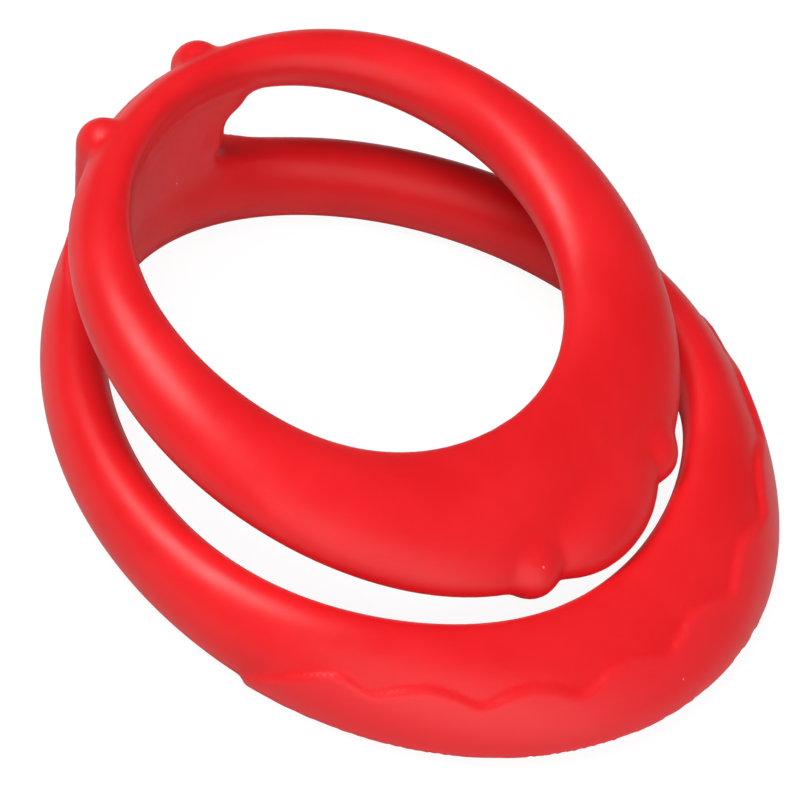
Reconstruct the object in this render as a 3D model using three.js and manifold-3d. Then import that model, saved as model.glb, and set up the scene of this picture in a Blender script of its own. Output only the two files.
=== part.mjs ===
// One-piece elastic double ring: a large lower ring and a smaller upper ring that share one
// upright bridge at the back, so that the two rings open like a jaw.
//
// Millimetres, +Z up. +X points at the rings' free ends, the bridge stands at -X, and the
// part is symmetric about the XZ plane. It rests on the flat underside of the lower ring.
// Angles around a ring are counted from its free end (0) to the bridge (180).

import * as THREE from 'three';
import { ParametricGeometry } from 'three/addons/geometries/ParametricGeometry.js';
import { mergeVertices } from 'three/addons/utils/BufferGeometryUtils.js';
import Module from 'manifold-3d';

const wasm = await Module();
wasm.setup();

const { degToRad, lerp, clamp } = THREE.MathUtils;

// ---- Driving dimensions ---------------------------------------------------------------

const GAP = 0.3; // between neighbouring regions of the moulding

// A ring's hole is an oval; egg widens its free-end half. The tube's section is an ellipse:
// thin and tall are its half-axes, lean tips its tall axis outwards and down, and lift raises
// the tube out of the ring's plane. Each is given at the bridge, the sides and the free end.
const LOWER_RING = {
  holeHalfLength: 22.5,
  holeHalfWidth: 24,
  egg: 0.12,
  thin: { back: 2.4, side: 2.75, front: 2.5 },
  tall: { back: 3.5, side: 3.5, front: 5.6 },
  lean: { back: -14, side: 5, front: 64 },
  lift: { back: 0, side: 0, front: 0 },
};
const UPPER_RING = {
  holeHalfLength: 17.4,
  holeHalfWidth: 19.1,
  egg: 0,
  thin: { back: 1.65, side: 2.95, front: 2.0 },
  tall: { back: 2.35, side: 3.5, front: 6.3 },
  lean: { back: 0, side: 69, front: 68 },
  lift: { back: 0, side: 0.65, front: -0.6 },
};
const FOOT_FLAT_DEPTH = 0.3; // how much of the lower tube the flat underside takes off

const BRIDGE_RISE = 12.1; // from the lower tube's centre to the upper tube's, at the back
const BRIDGE_LEAN_BACK = 2.2; // how far the upper hole's edge stands behind the lower one's
const REST_OPENING = 9.07; // degrees that the upper ring stands above where it would touch the lower
const BRIDGE_HALF_ANGLE = 19; // degrees around the rings, at half height
const BRIDGE_END_FLARE = 12; // degrees that the bridge widens where it meets a ring
const BRIDGE_THICKNESS_SHARE = 0.92; // of the tubes' own thickness
const NECK = 1.2; // height of stiff wall next to each tube; the web between them bends

const RIB_ANGLE = 17; // degrees either side of the bridge's middle
const RIB_RADIUS = 2.1;
const RIB_BULGE = 1.8; // how far a rib stands out of the bridge's back
const RIB_BOTTOM = 0.55; // a rib's two ends, as shares of the bridge's rise
const RIB_TOP = 0.95;

const BAND_HALF_ANGLE = 75; // degrees of the lower ring's free end that the band covers
const BAND_RAISE = 0.35;
const BAND_THICKNESS = 0.75;
const BAND_LOW_EDGE = -78; // degrees around the tube's section
const BAND_WAVE_EDGE = { front: -9, ends: 3 };
const BAND_WAVE_HEIGHT = 6;
const BAND_WAVE_PITCH = 16; // degrees around the ring
const BAND_TROUGH_ROUNDING = 0.05; // 0 makes the wave's troughs sharp
const BAND_END_WIDTH = 20; // degrees around the tube that are left at the band's ends
const BAND_TAPER = 14; // degrees around the ring over which each end narrows to nothing

const LOBES = [
  { name: 'lobe_centre', angle: 0, width: 7.0, reach: 3.6, thickness: 2.4, bulge: 1.2 },
  { name: 'lobe_left', angle: 18.5, width: 2.3, reach: 2.2, thickness: 1.8, bulge: 0.75 },
  { name: 'lobe_right', angle: -18.5, width: 2.3, reach: 2.2, thickness: 1.8, bulge: 0.75 },
];

const TABLE_CUT = 4 * LOWER_RING.holeHalfLength; // wider than the whole part
const RING_STEPS = 72;
const TUBE_STEPS = 18;
const BAND_STEPS = 60;
const WALL_STEPS = 14;
const MERGE_DISTANCE = 1e-4;
const MOST_DIP = 45; // degrees
const DIP_TOLERANCE = 0.02;

const SILICONE = { color: 0xee3a40, roughness: 0.45, metalness: 0 };
const WEB_SILICONE = { color: 0xe22c33, roughness: 0.45, metalness: 0 };
const RAISED_SILICONE = { color: 0xf24a50, roughness: 0.45, metalness: 0 };

// ---- Ring surface ---------------------------------------------------------------------

// A smooth curve around the ring through the three stated values.
function around(values, theta) {
  const cosine = Math.cos(theta);
  const ends = (values.front + values.back) / 2;
  const even = (ends + values.side) / 2 + ((ends - values.side) / 2) * Math.cos(2 * theta);
  return even + ((values.front - values.back) / 2) * cosine;
}

// The tube's section at one place around the ring, made thicker all round by grow.
function section(ring, theta, grow) {
  const thin = around(ring.thin, theta);
  const tall = around(ring.tall, theta);
  const lean = degToRad(around(ring.lean, theta));
  return {
    lean,
    thin: thin + grow,
    tall: tall + grow,
    halfWidth: Math.hypot(thin * Math.cos(lean), tall * Math.sin(lean)),
    halfHeight: Math.hypot(thin * Math.sin(lean), tall * Math.cos(lean)),
  };
}

// The edge of the hole, as seen from above, and the direction that points away from it.
function holeEdge(ring, theta) {
  const cosine = Math.cos(theta);
  const sine = Math.sin(theta);
  const { holeHalfLength: halfLength, holeHalfWidth: halfWidth, egg } = ring;
  const edge = new THREE.Vector2(halfLength * cosine, halfWidth * (1 + egg * cosine) * sine);
  const alongX = -halfLength * sine;
  const alongY = halfWidth * (cosine + egg * Math.cos(2 * theta));
  return { edge, outward: new THREE.Vector2(alongY, -alongX).normalize() };
}

// The height of the tube's middle: the lower ring's tube lies on the table all round.
function tubeHeight(ring, theta) {
  const onTable = section(ring, theta, 0).halfHeight - FOOT_FLAT_DEPTH;
  return around(ring.lift, theta) + (ring.standsOnTable ? onTable : 0);
}

// A point of the ring's surface. The section angle phi is 0 at the outer thin side, 90 on
// top and -90 at the outward tip of a section that leans right over.
function ringPoint(ring, theta, phi, grow = 0) {
  const { edge, outward } = holeEdge(ring, theta);
  const cut = section(ring, theta, grow);
  const alongThin = cut.thin * Math.cos(phi);
  const alongTall = cut.tall * Math.sin(phi);
  const reach = cut.halfWidth + alongThin * Math.cos(cut.lean) - alongTall * Math.sin(cut.lean);
  const height = alongThin * Math.sin(cut.lean) + alongTall * Math.cos(cut.lean);
  const centre = tubeHeight(ring, theta);
  return new THREE.Vector3(
    edge.x + outward.x * reach,
    edge.y + outward.y * reach,
    centre + height,
  );
}

const lowerRing = { ...LOWER_RING, standsOnTable: true };
const upperRing = { ...UPPER_RING, standsOnTable: false };

// ---- Building helpers -----------------------------------------------------------------

function ringGeometry(ring, grow = 0) {
  const turn = 2 * Math.PI;
  const surface = (u, v, target) => target.copy(ringPoint(ring, u * turn, v * turn, grow));
  return new ParametricGeometry(surface, RING_STEPS, TUBE_STEPS);
}

// A block whose three unit coordinates are bent to any place by the function place.
function bentBlock(steps, place) {
  const block = new THREE.BoxGeometry(1, 1, 1, ...steps);
  const corner = new THREE.Vector3();
  const position = block.attributes.position;
  for (let index = 0; index < position.count; index += 1) {
    corner.fromBufferAttribute(position, index).addScalar(0.5);
    const bent = place(corner.x, corner.y, corner.z);
    position.setXYZ(index, bent.x, bent.y, bent.z);
  }
  return block;
}

function toSolid(geometry) {
  const bare = geometry.clone();
  bare.deleteAttribute('normal');
  bare.deleteAttribute('uv');
  const merged = mergeVertices(bare, MERGE_DISTANCE);
  const vertProperties = new Float32Array(merged.attributes.position.array);
  const triVerts = new Uint32Array(merged.index.array);
  return new wasm.Manifold(new wasm.Mesh({ numProp: 3, vertProperties, triVerts }));
}

function toGeometry(solid) {
  const mesh = solid.getMesh();
  const geometry = new THREE.BufferGeometry();
  geometry.setAttribute('position', new THREE.BufferAttribute(mesh.vertProperties, 3));
  geometry.setIndex(new THREE.BufferAttribute(mesh.triVerts, 1));
  geometry.computeVertexNormals();
  return geometry;
}

function cutBy(geometry, ...cutters) {
  const cut = cutters.reduce((solid, cutter) => solid.subtract(toSolid(cutter)), toSolid(geometry));
  return toGeometry(cut);
}

function namedMesh(name, geometry, look) {
  const mesh = new THREE.Mesh(geometry, new THREE.MeshStandardMaterial(look));
  mesh.name = name;
  return mesh;
}

// Everything under the table that the lower ring stands on.
function belowTable() {
  return new THREE.BoxGeometry(TABLE_CUT, TABLE_CUT, TABLE_CUT).translate(0, 0, -TABLE_CUT / 2);
}

// ---- Where the upper ring stands ------------------------------------------------------

// Its back end stands over the lower ring's, and it tips down about that end.
const BACK = Math.PI;
const upperBack = new THREE.Vector3(
  -LOWER_RING.holeHalfLength - BRIDGE_LEAN_BACK,
  0,
  tubeHeight(lowerRing, BACK) + BRIDGE_RISE,
);
const upperFrame = new THREE.Group();

function tipUpperRing(degrees) {
  const dip = degToRad(degrees);
  upperFrame.rotation.y = dip;
  upperFrame.position.set(
    upperBack.x + UPPER_RING.holeHalfLength * Math.cos(dip),
    0,
    upperBack.z - UPPER_RING.holeHalfLength * Math.sin(dip),
  );
  upperFrame.updateMatrixWorld(true);
}

function upperGeometryInPlace(grow) {
  return ringGeometry(upperRing, grow).applyMatrix4(upperFrame.matrixWorld);
}

// The dip at which the two rings would just touch, found by halving an interval.
function touchingDip() {
  const lowerSolid = toSolid(ringGeometry(lowerRing));
  let clear = -MOST_DIP;
  let touching = MOST_DIP;
  while (touching - clear > DIP_TOLERANCE) {
    const middle = (clear + touching) / 2;
    tipUpperRing(middle);
    const shared = lowerSolid.intersect(toSolid(upperGeometryInPlace(0))).volume();
    if (shared > 0) touching = middle;
    else clear = middle;
  }
  return clear;
}

tipUpperRing(touchingDip() - REST_OPENING);

// ---- Bridge ---------------------------------------------------------------------------

// The middle of a tube at one place around its ring, moved in or out across the wall.
function tubeMiddle(ring, theta, across) {
  const { edge, outward } = holeEdge(ring, theta);
  const reach = section(ring, theta, 0).halfWidth * (1 + across * BRIDGE_THICKNESS_SHARE);
  return new THREE.Vector3(
    edge.x + outward.x * reach,
    edge.y + outward.y * reach,
    tubeHeight(ring, theta),
  );
}

// A point of the bridge wall: theta around, across the wall from -1 (inside) to 1
// (outside), and rise from the lower tube's middle (0) to the upper tube's (1).
function wallPoint(theta, across, rise) {
  const below = tubeMiddle(lowerRing, theta, across);
  const above = tubeMiddle(upperRing, theta, across).applyMatrix4(upperFrame.matrixWorld);
  return below.lerp(above, rise);
}

// The wall narrows towards half height, which rounds the ends of the slots beside it.
function wallHalfAngle(rise) {
  const fromMiddle = clamp(Math.abs(2 * rise - 1), 0, 1);
  const flare = 1 - Math.sqrt(1 - fromMiddle * fromMiddle);
  return degToRad(BRIDGE_HALF_ANGLE + BRIDGE_END_FLARE * flare);
}

function wallGeometry(low, high, steps, grow = 0) {
  const growAngle = grow / LOWER_RING.holeHalfLength;
  const growAcross = grow / section(upperRing, BACK, 0).halfWidth;
  return bentBlock([2, steps, 4], (u, v, w) => {
    const rise = lerp(low, high, w);
    const theta = BACK + lerp(-1, 1, v) * (wallHalfAngle(rise) + growAngle);
    return wallPoint(theta, lerp(-1, 1, u) * (1 + growAcross), rise);
  });
}

// Heights on the wall, as shares of its rise.
const footTop = (LOWER_RING.tall.back + GAP + NECK) / BRIDGE_RISE;
const headBottom = 1 - (UPPER_RING.tall.back + GAP + NECK) / BRIDGE_RISE;
const gapRise = GAP / BRIDGE_RISE;

const bridgeFoot = cutBy(
  wallGeometry(0, footTop, WALL_STEPS),
  ringGeometry(lowerRing, GAP),
);
const bridgeWeb = wallGeometry(footTop + gapRise, headBottom - gapRise, WALL_STEPS);
const bridgeHead = cutBy(
  wallGeometry(headBottom, 1, WALL_STEPS),
  upperGeometryInPlace(GAP),
);

// ---- Ribs on the bridge's back --------------------------------------------------------

function ribGeometry(side) {
  const theta = BACK + side * degToRad(RIB_ANGLE);
  const bottom = wallPoint(theta, 1, RIB_BOTTOM);
  const top = wallPoint(theta, 1, RIB_TOP);
  const { outward } = holeEdge(lowerRing, theta);
  const along = new THREE.Vector3().subVectors(top, bottom);
  const capsule = new THREE.CapsuleGeometry(RIB_RADIUS, along.length(), 5, 14);
  const upright = new THREE.Quaternion();
  upright.setFromUnitVectors(THREE.Object3D.DEFAULT_UP, along.clone().normalize());
  const middle = bottom.clone().lerp(top, 0.5);
  const sunk = RIB_BULGE - RIB_RADIUS;
  capsule.applyQuaternion(upright);
  capsule.translate(middle.x + outward.x * sunk, middle.y + outward.y * sunk, middle.z);
  return cutBy(
    capsule,
    ringGeometry(lowerRing, GAP),
    upperGeometryInPlace(GAP),
    wallGeometry(0, 1, WALL_STEPS, GAP),
  );
}

// ---- Wavy band on the lower ring's free end -------------------------------------------

// A wave from -1 to 1 with broad crests and narrow troughs, and a crest at 0 degrees.
function wave(angle) {
  const crest = Math.cos((Math.PI * angle) / BAND_WAVE_PITCH);
  const lowest = Math.sqrt(BAND_TROUGH_ROUNDING);
  const highest = Math.sqrt(1 + BAND_TROUGH_ROUNDING);
  const height = Math.sqrt(crest * crest + BAND_TROUGH_ROUNDING);
  return (2 * (height - lowest)) / (highest - lowest) - 1;
}

// The band's upper edge around the tube, at a share of the way along the band.
function waveEdge(share) {
  const alongHalf = Math.abs(2 * share - 1);
  const fromMiddle = alongHalf * BAND_HALF_ANGLE;
  const middle = lerp(BAND_WAVE_EDGE.front, BAND_WAVE_EDGE.ends, alongHalf * alongHalf);
  const edge = middle + BAND_WAVE_HEIGHT * wave(fromMiddle);
  const taper = Math.sqrt(clamp((BAND_HALF_ANGLE - fromMiddle) / BAND_TAPER, 0, 1));
  return lerp(BAND_LOW_EDGE + BAND_END_WIDTH, edge, taper);
}

// The band, or with a margin the pocket that it lies in.
function bandGeometry(margin) {
  const depth = BAND_THICKNESS - BAND_RAISE + margin;
  const angleMargin = margin / LOWER_RING.holeHalfLength;
  const edgeMargin = margin / around(LOWER_RING.thin, 0);
  const halfAngle = degToRad(BAND_HALF_ANGLE) + angleMargin;
  return bentBlock([1, BAND_STEPS, 4], (u, v, w) => {
    const theta = lerp(-halfAngle, halfAngle, v);
    const low = degToRad(BAND_LOW_EDGE) - edgeMargin;
    const high = degToRad(waveEdge(v)) + edgeMargin;
    const grow = lerp(-depth, BAND_RAISE + margin, u);
    return ringPoint(lowerRing, theta, lerp(low, high, w), grow);
  });
}

// ---- Lobes on the upper ring's free end -----------------------------------------------

function lobeGeometry(lobe) {
  const theta = degToRad(lobe.angle);
  const { lean } = section(upperRing, theta, 0);
  const { outward } = holeEdge(upperRing, theta);
  const tip = ringPoint(upperRing, theta, -Math.PI / 2, lobe.bulge - lobe.reach);
  const egg = new THREE.SphereGeometry(1, 16, 10);
  egg.scale(lobe.reach, lobe.width, lobe.thickness);
  egg.rotateY(Math.PI / 2 - lean);
  egg.rotateZ(outward.angle());
  egg.translate(tip.x, tip.y, tip.z);
  return cutBy(egg, ringGeometry(upperRing, GAP));
}

// ---- The part -------------------------------------------------------------------------

function buildPart() {
  const lowerTube = ringGeometry(lowerRing);
  const part = new THREE.Group();
  part.add(
    namedMesh('lower_ring', cutBy(lowerTube, bandGeometry(GAP), belowTable()), SILICONE),
    namedMesh('wave_band', cutBy(bandGeometry(0), belowTable()), RAISED_SILICONE),
    namedMesh('bridge_foot', bridgeFoot, SILICONE),
    namedMesh('bridge_web', bridgeWeb, WEB_SILICONE),
    namedMesh('bridge_head', bridgeHead, SILICONE),
    namedMesh('rib_left', ribGeometry(-1), RAISED_SILICONE),
    namedMesh('rib_right', ribGeometry(1), RAISED_SILICONE),
  );
  upperFrame.add(namedMesh('upper_ring', ringGeometry(upperRing), SILICONE));
  for (const lobe of LOBES) {
    upperFrame.add(namedMesh(lobe.name, lobeGeometry(lobe), RAISED_SILICONE));
  }
  part.add(upperFrame);

  // The origin is under the middle of the whole part.
  const box = new THREE.Box3().setFromObject(part, true);
  part.position.x = -(box.min.x + box.max.x) / 2;
  return part;
}

export default buildPart();
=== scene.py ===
"""A one-piece elastic double ring in satin red silicone, on a white studio floor.

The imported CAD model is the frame. It holds the moulding as separate regions; here one
continuous skin stands for all of them. The skin is the zero surface of a distance field
made of the same tubes, wall, ribs, band and lobes, melted together where they meet.

Field lengths are in millimetres, in ring coordinates: the frame's axes with the origin
under the middle of the lower ring's hole. Everything in the scene itself is in metres.
"""

import math

import bpy
import numpy as np
import openvdb
from mathutils import Matrix, Vector


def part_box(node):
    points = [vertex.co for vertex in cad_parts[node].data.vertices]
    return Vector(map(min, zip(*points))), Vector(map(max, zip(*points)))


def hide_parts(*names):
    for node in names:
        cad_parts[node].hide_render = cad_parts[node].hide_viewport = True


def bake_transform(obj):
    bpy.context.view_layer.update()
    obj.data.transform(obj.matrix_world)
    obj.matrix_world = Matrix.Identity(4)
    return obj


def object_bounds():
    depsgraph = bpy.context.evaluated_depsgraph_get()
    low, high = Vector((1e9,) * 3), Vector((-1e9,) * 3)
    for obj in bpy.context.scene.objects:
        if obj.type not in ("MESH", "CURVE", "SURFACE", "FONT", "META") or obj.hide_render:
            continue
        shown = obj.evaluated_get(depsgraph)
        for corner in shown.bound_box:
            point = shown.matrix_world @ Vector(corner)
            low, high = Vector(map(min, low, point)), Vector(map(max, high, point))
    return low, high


MM = 0.001

# ---- Dimensions of the moulding ------------------------------------------------------------

# A ring's hole is an oval; egg widens its free-end half. The tube's section is an ellipse:
# thin and tall are its half-axes, lean tips its tall axis outwards and down, and lift raises
# the tube out of the ring's plane. Each is given at the bridge, the sides and the free end.
LOWER = {
    "hole_half_length": 22.5,
    "hole_half_width": 24.0,
    "egg": 0.12,
    "thin": (2.4, 2.75, 2.5),
    "tall": (3.5, 3.5, 5.6),
    "lean": (-14.0, 5.0, 64.0),
    "lift": (0.0, 0.0, 0.0),
    "on_table": True,
}
UPPER = {
    "hole_half_length": 17.4,
    "hole_half_width": 19.1,
    "egg": 0.0,
    "thin": (1.65, 2.95, 2.0),
    "tall": (2.35, 3.5, 6.3),
    "lean": (0.0, 69.0, 68.0),
    "lift": (0.0, 0.65, -0.6),
    "on_table": False,
}
FOOT_FLAT_DEPTH = 0.3  # how much of the lower tube the flat underside takes off

BRIDGE_RISE = 12.1  # from the lower tube's middle to the upper tube's, at the back
BRIDGE_LEAN_BACK = 2.2  # how far the upper hole's edge stands behind the lower one's
DIP = math.radians(7.38)  # the upper ring's free end tips down about its back
BRIDGE_HALF_ANGLE = 19.0  # degrees around the rings, at half height
BRIDGE_NARROWEST = 0.35  # as a share of the clear height between the tubes
BRIDGE_FLARE = (4.5, 2.4)  # how far it widens where it meets the lower and the upper tube
BRIDGE_THICKNESS_SHARE = 0.98  # of the tubes' own thickness
BRIDGE_EDGE_RADIUS = 1.3
BRIDGE_FILLET = 0.9

RIB_ANGLE = 17.0  # degrees either side of the bridge's middle
RIB_RADIUS = 2.1
RIB_ENDS = (0.5, 0.95)  # as shares of the bridge's rise
RIB_BULGES = (0.4, 1.9)  # how far a rib stands out of the bridge's back at its two ends
RIB_FILLET = 0.5

BAND_HALF_ANGLE = 75.0  # degrees of the lower ring's free end that the band covers
BAND_RAISE = 0.4
BAND_LOW_EDGE = -78.0  # degrees around the tube's section
BAND_WAVE_EDGE = (-9.0, 3.0)  # at the free end and at the band's own ends
BAND_WAVE_HEIGHT = 6.0
BAND_WAVE_PITCH = 16.0  # degrees around the ring
BAND_TROUGH_ROUNDING = 0.05
BAND_END_WIDTH = 20.0  # degrees around the tube that are left at the band's ends
BAND_TAPER = 14.0  # degrees around the ring over which each end narrows to nothing
BAND_EDGE_SOFTNESS = 0.5

LOBES = (
    {"angle": 0.0, "width": 7.0, "reach": 3.6, "thickness": 2.4, "bulge": 1.2},
    {"angle": 18.5, "width": 2.3, "reach": 2.2, "thickness": 1.8, "bulge": 0.75},
    {"angle": -18.5, "width": 2.3, "reach": 2.2, "thickness": 1.8, "bulge": 0.75},
)
LOBE_FILLET = 1.0
LOBE_CREASE = 0.4
UNDERSIDE_ROUNDING = 0.3

GRID_STEP = 0.4
COARSE_STRIDE = 3  # grid steps between the points that are read first
BAND_DEPTH = 1.8  # how near the skin a first reading has to be for the full grid there
GRID_MARGIN = 1.6
OUTSIDE = 10.0  # the value of the field where the grid says nothing
NEWTON_STEPS = 8
NEWTON_REACH = 0.3  # the furthest that one step may go, in radians, and its least slope
PROBE = 0.02  # half the distance between the field's readings for its slope
LEAST_STEEPNESS = 0.05  # of the field, squared, so that flat spots don't throw points far
PROJECTIONS = 4
LAST_PROJECTIONS = 2  # of those, the ones that no relaxing follows
TINY = 1e-6


# ---- The field -----------------------------------------------------------------------------


def smoothstep(value, low, high):
    share = np.clip((value - low) / (high - low), 0, 1)
    return share * share * (3 - 2 * share)


def smooth_min(a, b, fillet):
    overlap = np.maximum(fillet - np.abs(a - b), 0) / fillet
    return np.minimum(a, b) - overlap * overlap * fillet / 4


def around(values, theta):
    """A smooth curve around the ring through the values at the bridge, sides and free end."""
    back, side, front = values
    ends = (front + back) / 2
    even = (ends + side) / 2 + (ends - side) / 2 * np.cos(2 * theta)
    return even + (front - back) / 2 * np.cos(theta)


def section(ring, theta):
    """Half-axes, lean, half width and half height of the tube's section."""
    thin = around(ring["thin"], theta)
    tall = around(ring["tall"], theta)
    lean = np.radians(around(ring["lean"], theta))
    half_width = np.hypot(thin * np.cos(lean), tall * np.sin(lean))
    half_height = np.hypot(thin * np.sin(lean), tall * np.cos(lean))
    return thin, tall, lean, half_width, half_height


def tube_height(ring, theta):
    """The height of the tube's middle above the ring's own plane."""
    lift = around(ring["lift"], theta)
    if not ring["on_table"]:
        return lift
    return lift + section(ring, theta)[4] - FOOT_FLAT_DEPTH


def hole_edge(ring, theta):
    """The edge of the hole seen from above, and its first and second derivatives."""
    length, width, egg = ring["hole_half_length"], ring["hole_half_width"], ring["egg"]
    cosine, sine = np.cos(theta), np.sin(theta)
    edge = np.stack([length * cosine, width * (1 + egg * cosine) * sine], -1)
    along = np.stack([-length * sine, width * (cosine + egg * np.cos(2 * theta))], -1)
    curve = np.stack(
        [-length * cosine, -width * (sine + 2 * egg * np.sin(2 * theta))], -1
    )
    return edge, along, curve


def outward_of(along):
    normal = np.stack([along[..., 1], -along[..., 0]], -1)
    return normal / np.linalg.norm(normal, axis=-1, keepdims=True)


def ring_coordinates(ring, points):
    """Where points are round the ring: theta, reach out from the hole's edge, and height
    above the tube's middle."""
    place = points[:, :2]
    theta = np.arctan2(
        place[:, 1] / ring["hole_half_width"], place[:, 0] / ring["hole_half_length"]
    )
    for _ in range(NEWTON_STEPS):
        edge, along, curve = hole_edge(ring, theta)
        off = ((place - edge) * along).sum(-1)
        speed = (along * along).sum(-1)
        slope = ((place - edge) * curve).sum(-1) - speed
        slope = np.minimum(slope, -NEWTON_REACH * speed)
        theta = theta - np.clip(off / slope, -NEWTON_REACH, NEWTON_REACH)
    edge, along, _ = hole_edge(ring, theta)
    reach = ((place - edge) * outward_of(along)).sum(-1)
    return theta, reach, points[:, 2] - tube_height(ring, theta)


def ellipse_distance(p, q, a, b):
    scaled = np.hypot(p / a, q / b)
    slope = np.maximum(np.hypot(p / a**2, q / b**2), TINY)
    return scaled * (scaled - 1) / slope


def tube_field(ring, coordinates):
    """Distance to the tube, the angle around its section, and the section's tall half-axis."""
    theta, reach, height = coordinates
    thin, tall, lean, half_width, _ = section(ring, theta)
    across = reach - half_width
    p = across * np.cos(lean) + height * np.sin(lean)
    q = -across * np.sin(lean) + height * np.cos(lean)
    return ellipse_distance(p, q, thin, tall), np.arctan2(q / tall, p / thin), tall


def band_cover(theta, phi, tall):
    """1 inside the wavy band on the lower ring's free end, 0 outside, soft at its edge."""
    from_middle = np.abs(np.degrees(np.arctan2(np.sin(theta), np.cos(theta))))
    crest = np.cos(math.pi * from_middle / BAND_WAVE_PITCH)
    broad = np.sqrt(crest * crest + BAND_TROUGH_ROUNDING) - math.sqrt(BAND_TROUGH_ROUNDING)
    broad /= math.sqrt(1 + BAND_TROUGH_ROUNDING) - math.sqrt(BAND_TROUGH_ROUNDING)
    front_edge, side_edge = BAND_WAVE_EDGE
    middle = front_edge + (side_edge - front_edge) * (from_middle / BAND_HALF_ANGLE) ** 2
    taper = np.sqrt(np.clip((BAND_HALF_ANGLE - from_middle) / BAND_TAPER, 0, 1))
    low_end = BAND_LOW_EDGE + BAND_END_WIDTH
    edge = low_end + (middle + BAND_WAVE_HEIGHT * (2 * broad - 1) - low_end) * taper
    below = np.radians(edge - np.degrees(phi)) * tall
    above = np.radians(np.degrees(phi) - BAND_LOW_EDGE) * tall
    soft = BAND_EDGE_SOFTNESS
    ends = smoothstep(BAND_HALF_ANGLE - from_middle, 0, 2)
    return smoothstep(below, -soft / 2, soft / 2) * smoothstep(above, 0, 1) * ends


def upper_place():
    """Rotation and position of the upper ring's own frame in ring coordinates."""
    back_height = tube_height(LOWER, np.array(math.pi)) + BRIDGE_RISE
    length = UPPER["hole_half_length"]
    position = np.array(
        [
            -LOWER["hole_half_length"] - BRIDGE_LEAN_BACK + length * math.cos(DIP),
            0.0,
            float(back_height) - length * math.sin(DIP),
        ]
    )
    turn = np.array(
        [
            [math.cos(DIP), 0, math.sin(DIP)],
            [0, 1, 0],
            [-math.sin(DIP), 0, math.cos(DIP)],
        ]
    )
    return turn, position


UPPER_TURN, UPPER_POSITION = upper_place()


def to_upper(points):
    return (points - UPPER_POSITION) @ UPPER_TURN


def from_upper(points):
    return points @ UPPER_TURN.T + UPPER_POSITION


def tube_middle(ring, theta, across=0.0):
    """The middle of the tube's section, or a point across it by a share of its width."""
    edge, along, _ = hole_edge(ring, theta)
    reach = section(ring, theta)[3] * (1 + across * BRIDGE_THICKNESS_SHARE)
    place = edge + outward_of(along) * reach[..., None]
    return np.concatenate([place, tube_height(ring, theta)[..., None]], -1)


def wall_field(points, low_coordinates, high_coordinates):
    """Distance to the bridge wall between the two tubes' middles."""
    low_theta, low_reach, low_height = low_coordinates
    high_theta, high_reach, high_height = high_coordinates
    rise = np.clip(low_height / np.maximum(low_height - high_height, TINY), 0, 1)
    low_width = section(LOWER, low_theta)[3]
    high_width = section(UPPER, high_theta)[3]
    across = (low_reach - low_width) * (1 - rise) + (high_reach - high_width) * rise
    half = BRIDGE_THICKNESS_SHARE * (low_width * (1 - rise) + high_width * rise)
    low_top = section(LOWER, low_theta)[4]
    high_bottom = section(UPPER, high_theta)[4]
    clear = np.maximum(low_height - high_height - low_top - high_bottom, 1.0)
    share = np.clip((low_height - low_top) / clear, 0, 1) - BRIDGE_NARROWEST
    down = np.clip(-share / BRIDGE_NARROWEST, 0, 1)
    up = np.clip(share / (1 - BRIDGE_NARROWEST), 0, 1)
    low_flare, high_flare = BRIDGE_FLARE
    flare = low_flare * down**3 + high_flare * up**3
    steepness = 3 * low_flare * down**2 / (BRIDGE_NARROWEST * clear)
    steepness = steepness + 3 * high_flare * up**2 / ((1 - BRIDGE_NARROWEST) * clear)
    angle = np.array(math.radians(BRIDGE_HALF_ANGLE))
    low_end = tube_middle(LOWER, math.pi - angle)[1]
    high_end = tube_middle(UPPER, math.pi - angle)[1]
    end = low_end * (1 - rise) + high_end * rise
    beyond = ((np.abs(points[:, 1]) - end) / np.cos(angle) - flare) / np.hypot(1, steepness)
    beyond = np.where(points[:, 0] > 0, GRID_MARGIN * 10, beyond)
    radius = BRIDGE_EDGE_RADIUS
    side = np.abs(across) - half + radius
    tip = beyond + radius
    rounded = np.hypot(np.maximum(side, 0), np.maximum(tip, 0)) - radius
    wall = rounded + np.minimum(np.maximum(side, tip), 0)
    return np.maximum(wall, np.maximum(-low_height, high_height))


def rib_field(points):
    """Distance to the two rounded upright ribs on the bridge's back."""
    nearest = None
    for side in (-1, 1):
        theta = np.array(math.pi + side * math.radians(RIB_ANGLE))
        low = tube_middle(LOWER, theta, 1.0)
        high = from_upper(tube_middle(UPPER, theta, 1.0))
        _, along, _ = hole_edge(LOWER, theta)
        outward = np.append(outward_of(along), 0)
        bottom, top = (
            low + (high - low) * share + outward * (bulge - RIB_RADIUS)
            for share, bulge in zip(RIB_ENDS, RIB_BULGES)
        )
        axis = top - bottom
        share = np.clip((points - bottom) @ axis / (axis @ axis), 0, 1)
        rib = np.linalg.norm(points - bottom - share[:, None] * axis, axis=1) - RIB_RADIUS
        nearest = rib if nearest is None else np.minimum(nearest, rib)
    return nearest


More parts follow.
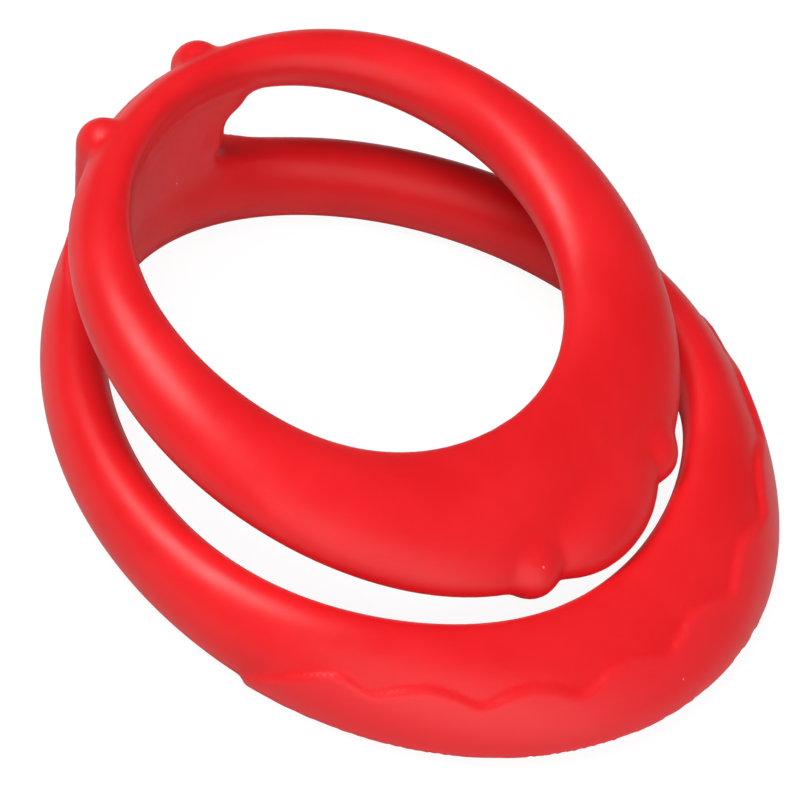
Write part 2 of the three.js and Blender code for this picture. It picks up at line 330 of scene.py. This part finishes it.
def lobe_field(points):
    """Distance to the three lobes, for points in the upper ring's own frame."""
    lobes = None
    for lobe in LOBES:
        theta = np.array(math.radians(lobe["angle"]))
        _, tall, lean, half_width, _ = section(UPPER, theta)
        edge, along, _ = hole_edge(UPPER, theta)
        outward = outward_of(along)
        tip = tall + lobe["bulge"] - lobe["reach"]
        reach = half_width + tip * math.sin(lean)
        height = tube_height(UPPER, theta) - tip * math.cos(lean)
        middle = np.array([*(edge + outward * reach), height])
        down = np.array([*(outward * math.sin(lean)), -math.cos(lean)])
        sideways = np.array([-outward[1], outward[0], 0])
        axes = np.stack([down, sideways, np.cross(down, sideways)], 1)
        sizes = np.array([lobe["reach"], lobe["width"], lobe["thickness"]])
        local = (points - middle) @ axes
        scaled = np.linalg.norm(local / sizes, axis=1)
        slope = np.maximum(np.linalg.norm(local / sizes**2, axis=1), TINY)
        found = scaled * (scaled - 1) / slope
        lobes = found if lobes is None else smooth_min(lobes, found, LOBE_CREASE)
    return lobes


def body_fields(points):
    """Distances to the lower tube, the upper tube with its lobes, and the bridge wall, and
    how far each point is covered by the wavy band."""
    low_coordinates = ring_coordinates(LOWER, points)
    high_points = to_upper(points)
    high_coordinates = ring_coordinates(UPPER, high_points)
    lower, phi, tall = tube_field(LOWER, low_coordinates)
    cover = band_cover(low_coordinates[0], phi, tall)
    lower = lower - BAND_RAISE * cover
    upper, _, _ = tube_field(UPPER, high_coordinates)
    upper = smooth_min(upper, lobe_field(high_points), LOBE_FILLET)
    wall = wall_field(points, low_coordinates, high_coordinates)
    return lower, upper, wall, cover


def skin_field(points):
    lower, upper, wall, _ = body_fields(points)
    skin = np.minimum(
        smooth_min(lower, wall, BRIDGE_FILLET), smooth_min(upper, wall, BRIDGE_FILLET)
    )
    skin = smooth_min(skin, rib_field(points), RIB_FILLET)
    return -smooth_min(-skin, points[:, 2], UNDERSIDE_ROUNDING)


# ---- The skin's mesh -----------------------------------------------------------------------


def field_grid(low, high):
    """The field on a regular grid over a box: exact near the skin, coarse elsewhere."""
    cells = np.ceil((high - low) / (GRID_STEP * COARSE_STRIDE)).astype(int)
    axes = [low[i] + GRID_STEP * COARSE_STRIDE * np.arange(cells[i] + 1) for i in range(3)]
    points = np.stack(np.meshgrid(*axes, indexing="ij"), -1).reshape(-1, 3)
    values = skin_field(points).reshape(cells + 1)
    for axis in range(3):
        values = np.repeat(values, COARSE_STRIDE, axis)
    half = COARSE_STRIDE // 2  # so that each grid point has the value of the nearest reading
    values = values[half:, half:, half:]
    near = np.argwhere(np.abs(values) < BAND_DEPTH)
    points = low + near * GRID_STEP
    read = np.concatenate([skin_field(part) for part in np.array_split(points, 8)])
    values[tuple(near.T)] = read
    return values


def zero_surface(low, high):
    values = field_grid(low, high)
    grid = openvdb.FloatGrid(OUTSIDE)
    grid.copyFromArray(values.astype(np.float32))
    points, quads = grid.convertToQuads(0.0)
    return np.asarray(points, float) * GRID_STEP + low, np.asarray(quads, int)


def skin_slope(points):
    slope = np.empty_like(points)
    for axis in range(3):
        step = np.zeros(3)
        step[axis] = PROBE
        slope[:, axis] = skin_field(points + step) - skin_field(points - step)
    return slope / (2 * PROBE)


def project(points):
    """Moves points onto the zero surface along the field's slope."""
    slope = skin_slope(points)
    steepness = np.maximum((slope * slope).sum(1), LEAST_STEEPNESS)
    move = (skin_field(points) / steepness)[:, None] * slope
    length = np.linalg.norm(move, axis=1, keepdims=True)
    return points - move * np.minimum(1, GRID_STEP / np.maximum(length, TINY))


def relaxed(points, edges):
    """Each point moved half way to the middle of its neighbours."""
    total = np.zeros_like(points)
    count = np.zeros(len(points))
    for a, b in ((0, 1), (1, 0)):
        np.add.at(total, edges[:, a], points[edges[:, b]])
        np.add.at(count, edges[:, a], 1)
    return (points + total / count[:, None]) / 2


def store_attribute(mesh, name, kind, field, values):
    made = mesh.attributes.new(name, kind, "POINT")
    made.data.foreach_set(field, np.ascontiguousarray(values, np.float32).ravel())


def build_skin(low, high, offset):
    points, quads = zero_surface(low, high)
    mesh = bpy.data.meshes.new("double_ring_skin")
    mesh.from_pydata(points.tolist(), [], quads.tolist())
    skin = bpy.data.objects.new("double_ring_skin", mesh)
    bpy.context.scene.collection.objects.link(skin)
    edges = np.empty(len(mesh.edges) * 2, np.int32)
    mesh.edges.foreach_get("vertices", edges)
    edges = edges.reshape(-1, 2)
    for turn in range(PROJECTIONS):
        points = project(points)
        if turn < PROJECTIONS - LAST_PROJECTIONS:
            points = relaxed(points, edges)
    mesh.vertices.foreach_set("co", ((points + offset) * MM).astype(np.float32).ravel())
    mesh.update()
    mesh.shade_smooth()
    return skin, points


# ---- Material ------------------------------------------------------------------------------

LIT_RED = (0.78, 0.012, 0.016, 1)
DEEP_RED = (0.72, 0.008, 0.012, 1)
RAISED_RED = (0.78, 0.020, 0.026, 1)
SPECK_PINK = (0.95, 0.32, 0.30, 1)
SPECK_DARK = (0.22, 0.004, 0.008, 1)


class Shader:
    """A material's node tree, with short calls for its nodes and links."""

    def __init__(self, name):
        self.material = bpy.data.materials.new(name)
        self.material.use_nodes = True
        self.nodes = self.material.node_tree.nodes
        self.links = self.material.node_tree.links

    def node(self, kind, links=None, values=None, **settings):
        made = self.nodes.new(kind)
        for key, value in settings.items():
            setattr(made, key, value)
        for key, value in (values or {}).items():
            made.inputs[key].default_value = value
        for key, source in (links or {}).items():
            self.links.new(source, made.inputs[key])
        return made

    def noise(self, place, scale, detail, roughness=0.5):
        values = {"Scale": scale, "Detail": detail, "Roughness": roughness}
        return self.node("ShaderNodeTexNoise", {"Vector": place}, values).outputs["Fac"]

    def spread(self, source, from_low, from_high, to_low, to_high):
        values = {
            "From Min": from_low,
            "From Max": from_high,
            "To Min": to_low,
            "To Max": to_high,
        }
        made = self.node("ShaderNodeMapRange", {"Value": source}, values)
        return made.outputs["Result"]

    def blend(self, share, first, second):
        """A mix of two colours, each an RGBA value or another node's output."""
        made = self.node("ShaderNodeMix", data_type="RGBA")
        made.inputs["Factor"].default_value = 0.0
        self.links.new(share, made.inputs["Factor"])
        for socket, colour in ((made.inputs[6], first), (made.inputs[7], second)):
            if isinstance(colour, tuple):
                socket.default_value = colour
            else:
                self.links.new(colour, socket)
        return made.outputs[2]

    def specks(self, place, scale, size, share):
        """Dots of the given size, as a share of their cell, in that share of the cells."""
        cells = self.node("ShaderNodeTexVoronoi", {"Vector": place}, {"Scale": scale})
        near = self.spread(cells.outputs["Distance"], size * 0.6, size, 1, 0)
        chosen = self.spread(cells.outputs["Color"], share, share * 0.98, 0, 1)
        both = self.node(
            "ShaderNodeMath", {0: near, 1: chosen}, operation="MULTIPLY", use_clamp=True
        )
        return both.outputs[0]


def silicone_material():
    """Satin silicone: broad soft gloss, cloudy pigment, moulded micro texture and dust."""
    shader = Shader("satin_red_silicone")
    place = shader.node(
        "ShaderNodeAttribute", attribute_name="rest_place", attribute_type="GEOMETRY"
    ).outputs["Vector"]
    raised = shader.node(
        "ShaderNodeAttribute", attribute_name="raised", attribute_type="GEOMETRY"
    ).outputs["Fac"]
    cloud = shader.spread(shader.noise(place, 0.12, 3), 0.35, 0.65, 0, 1)
    red = shader.blend(cloud, DEEP_RED, LIT_RED)
    red = shader.blend(shader.spread(raised, 0, 1, 0, 0.75), red, RAISED_RED)
    red = shader.blend(shader.specks(place, 0.42, 0.045, 0.16), red, SPECK_PINK)
    red = shader.blend(shader.specks(place, 0.27, 0.03, 0.10), red, SPECK_DARK)
    smudge = shader.noise(place, 0.5, 4, 0.6)
    roughness = shader.spread(smudge, 0.3, 0.7, 0.36, 0.44)
    grain = shader.noise(place, 9.0, 2)
    pores = shader.node(
        "ShaderNodeBump", {"Height": grain}, {"Strength": 0.06, "Distance": 0.00002}
    )
    ripple = shader.node(
        "ShaderNodeBump",
        {"Height": shader.noise(place, 0.9, 1), "Normal": pores.outputs[0]},
        {"Strength": 0.10, "Distance": 0.0001},
    )
    surface = shader.nodes["Principled BSDF"]
    shader.links.new(red, surface.inputs["Base Color"])
    shader.links.new(roughness, surface.inputs["Roughness"])
    shader.links.new(ripple.outputs[0], surface.inputs["Normal"])
    surface.inputs["IOR"].default_value = 1.41
    surface.inputs["Specular IOR Level"].default_value = 0.42
    surface.inputs["Subsurface Weight"].default_value = 0.06
    surface.inputs["Subsurface Radius"].default_value = (1.0, 0.12, 0.10)
    surface.inputs["Subsurface Scale"].default_value = 0.0008
    return shader.material


# ---- The scene -----------------------------------------------------------------------------

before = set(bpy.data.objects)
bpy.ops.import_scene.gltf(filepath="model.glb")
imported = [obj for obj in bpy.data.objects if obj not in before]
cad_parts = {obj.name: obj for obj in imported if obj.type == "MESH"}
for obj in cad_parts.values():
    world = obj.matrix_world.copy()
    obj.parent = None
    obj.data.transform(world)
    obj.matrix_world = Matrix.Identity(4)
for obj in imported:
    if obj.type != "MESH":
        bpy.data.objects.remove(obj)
cad_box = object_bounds()

low_corner, high_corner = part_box("lower_ring")
hole_middle_x = (
    low_corner.x / MM + LOWER["hole_half_length"] + 2 * float(section(LOWER, math.pi)[3])
)
offset = np.array([hole_middle_x, 0.0, 0.0])
low = np.array([c / MM for c in cad_box[0]]) - offset - GRID_MARGIN
high = np.array([c / MM for c in cad_box[1]]) - offset + GRID_MARGIN
skin, rest_points = build_skin(low, high, offset)

# Each point's distance to the two bodies, clipped at zero. The rings overlap in height, so a
# weight along one straight line would bend the lower ring's free end; this script makes no
# weights from these distances.
lower, upper, _, cover = body_fields(rest_points)
lower, upper = np.maximum(lower, 0), np.maximum(upper, 0)

lobe_cover = smoothstep(lobe_field(to_upper(rest_points)), 0.6, -0.2)
store_attribute(skin.data, "rest_place", "FLOAT_VECTOR", "vector", rest_points)
store_attribute(skin.data, "raised", "FLOAT", "value", np.maximum(cover, 0.5 * lobe_cover))

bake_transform(skin)
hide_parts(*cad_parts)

skin.data.materials.append(silicone_material())

# ---- Floor, light and camera ---------------------------------------------------------------

FLOOR_HALF = 1.0
FLOOR_GREY = 0.65  # what the floor throws back onto the object
FLOOR_GLOW = 1.1
FLOOR_GLOW_SHARE = 0.85  # of the floor that the camera sees as even white
WORLD_STRENGTH = 0.10

# The camera looks at a point near the middle of the object from its -Y side, a little towards
# the free end. AIM is measured from the middle of the lower ring's hole.
AIM = Vector((-0.018, 2.94, 2.18)) * MM
AZIMUTH = math.radians(16.31)
ELEVATION = math.radians(43.55)
ROLL = math.radians(24.55)
DISTANCE = 0.540
LENS = 313.8
SENSOR = 36
CLIP_START = 0.01


def floor_material():
    """A pale floor: even white to the camera, a light grey to the object."""
    material = bpy.data.materials.new("floor")
    material.use_nodes = True
    nodes, links = material.node_tree.nodes, material.node_tree.links
    nodes.clear()
    diffuse = nodes.new("ShaderNodeBsdfDiffuse")
    diffuse.inputs["Color"].default_value = (FLOOR_GREY, FLOOR_GREY, FLOOR_GREY, 1)
    emission = nodes.new("ShaderNodeEmission")
    emission.inputs["Strength"].default_value = FLOOR_GLOW
    path = nodes.new("ShaderNodeLightPath")
    share = nodes.new("ShaderNodeMath")
    share.operation = "MULTIPLY"
    share.inputs[1].default_value = FLOOR_GLOW_SHARE
    mix = nodes.new("ShaderNodeMixShader")
    output = nodes.new("ShaderNodeOutputMaterial")
    links.new(path.outputs["Is Camera Ray"], share.inputs[0])
    links.new(share.outputs[0], mix.inputs[0])
    links.new(diffuse.outputs[0], mix.inputs[1])
    links.new(emission.outputs[0], mix.inputs[2])
    links.new(mix.outputs[0], output.inputs["Surface"])
    return material


def build_floor():
    mesh = bpy.data.meshes.new("floor")
    signs = ((-1, -1), (1, -1), (1, 1), (-1, 1))
    corners = [(x * FLOOR_HALF, y * FLOOR_HALF, 0) for x, y in signs]
    mesh.from_pydata(corners, [], [(0, 1, 2, 3)])
    mesh.materials.append(floor_material())
    floor = bpy.data.objects.new("floor", mesh)
    bpy.context.scene.collection.objects.link(floor)


def build_world():
    world = bpy.data.worlds.new("world")
    bpy.context.scene.world = world
    world.use_nodes = True
    background = world.node_tree.nodes["Background"]
    background.inputs["Color"].default_value = (1, 1, 1, 1)
    background.inputs["Strength"].default_value = WORLD_STRENGTH


def softbox(name, direction, distance, size, power):
    """A square lamp in the given direction from the frame's origin, facing the origin."""
    light = bpy.data.lights.new(name, "AREA")
    light.energy = power
    light.size = size
    lamp = bpy.data.objects.new(name, light)
    lamp.location = Vector(direction).normalized() * distance
    lamp.rotation_euler = (-lamp.location).to_track_quat("-Z", "Y").to_euler()
    bpy.context.scene.collection.objects.link(lamp)


def build_camera(target):
    """The camera at its distance from the target, turned by azimuth, elevation and roll."""
    back = Vector(
        (
            math.sin(AZIMUTH) * math.cos(ELEVATION),
            -math.cos(AZIMUTH) * math.cos(ELEVATION),
            math.sin(ELEVATION),
        )
    )
    level = (-back).cross(Vector((0, 0, 1))).normalized()
    upright = level.cross(-back)
    right = math.cos(ROLL) * level + math.sin(ROLL) * upright
    up = back.cross(right)
    data = bpy.data.cameras.new("camera")
    data.lens = LENS
    data.sensor_width = SENSOR
    data.clip_start = CLIP_START
    camera = bpy.data.objects.new("camera", data)
    placed = Matrix((right, up, back)).transposed().to_4x4()
    placed.translation = target + back * DISTANCE
    camera.matrix_world = placed
    bpy.context.scene.collection.objects.link(camera)
    bpy.context.scene.camera = camera


build_floor()
build_world()
softbox("key", (-0.375, -0.30, 0.876), distance=0.6, size=0.34, power=3.7)
softbox("right_fill", (0.87, -0.45, 0.30), distance=0.7, size=1.0, power=5.4)
build_camera(Vector(offset) * MM + AIM)
bpy.context.scene.view_settings.view_transform = "Standard"
